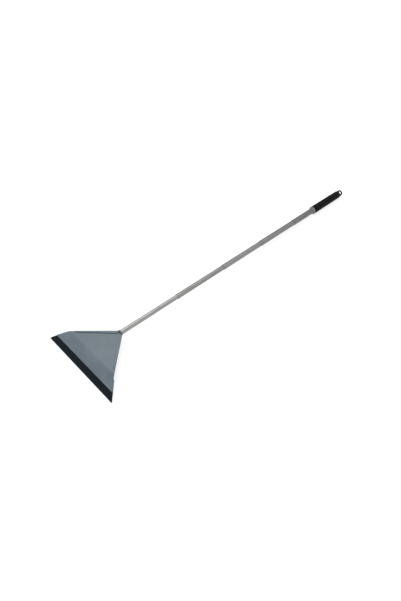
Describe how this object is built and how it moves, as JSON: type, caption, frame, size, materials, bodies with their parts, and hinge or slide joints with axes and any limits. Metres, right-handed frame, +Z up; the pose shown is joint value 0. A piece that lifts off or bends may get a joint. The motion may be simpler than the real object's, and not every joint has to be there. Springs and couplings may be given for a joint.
{
  "type": "telescopic floor scraper",
  "caption": "Long telescopic pole scraper: wide bent sheet head with a rubber lip at its front edge, nested steel tubes that draw out by friction, and a black grip with a hanging eye.",
  "frame": {"origin": "centre of the small flat under the rubber lip where it touches the floor", "axes": "+X along the lip, +Y from the lip towards the grip, +Z up from the floor, tool lying as put down"},
  "size_m": [0.2738, 1.2827, 0.0339],
  "materials": {
    "painted_sheet": "satin slate grey coat on sheet steel",
    "painted_neck": "satin slate grey coat on turned steel",
    "lip_rubber": "matte black rubber",
    "zinc_steel": "bright zinc plate",
    "stainless_rivet": "plain stainless steel",
    "stainless_tube": "drawn stainless tube, satin with lengthwise polish",
    "nylon": "natural nylon",
    "ring_rubber": "matte black rubber",
    "grey_plastic": "light grey moulded plastic",
    "grip_rubber": "soft black grip rubber with moulded rings",
    "cap_plastic": "fine-textured black moulded plastic"
  },
  "bodies": {
    "head": {"head_plate": "painted_sheet", "rubber_lip": "lip_rubber", "clamp_bar": "zinc_steel", "weld_studs": "zinc_steel", "washers": "zinc_steel", "lock_nuts": "zinc_steel", "neck_ferrule": "painted_neck", "neck_rivet": "stainless_rivet", "tube_1": "stainless_tube", "guide_bush_1": "nylon", "friction_ring_1": "ring_rubber"},
    "section_2": {"tube_2": "stainless_tube", "guide_bush_2": "nylon", "friction_ring_2": "ring_rubber"},
    "section_3": {"tube_3": "stainless_tube", "guide_bush_3": "nylon", "friction_ring_3": "ring_rubber"},
    "section_4": {"tube_4": "stainless_tube", "guide_bush_4": "nylon", "friction_ring_4": "ring_rubber"},
    "handle": {"tube_5": "stainless_tube", "grip_collar": "grey_plastic", "grip_sleeve": "grip_rubber", "hang_cap": "cap_plastic", "cap_pin": "stainless_rivet"}
  },
  "joints": [
    {"name": "slide_1", "type": "slide", "parent": "head", "child": "section_2", "axis": [0, -1, 0.0097], "range_m": [0, 0.18]},
    {"name": "slide_2", "type": "slide", "parent": "section_2", "child": "section_3", "axis": [0, -1, 0.0097], "range_m": [0, 0.18]},
    {"name": "slide_3", "type": "slide", "parent": "section_3", "child": "section_4", "axis": [0, -1, 0.0097], "range_m": [0, 0.18]},
    {"name": "slide_4", "type": "slide", "parent": "section_4", "child": "handle", "axis": [0, -1, 0.0097], "range_m": [0, 0.18]}
  ]
}
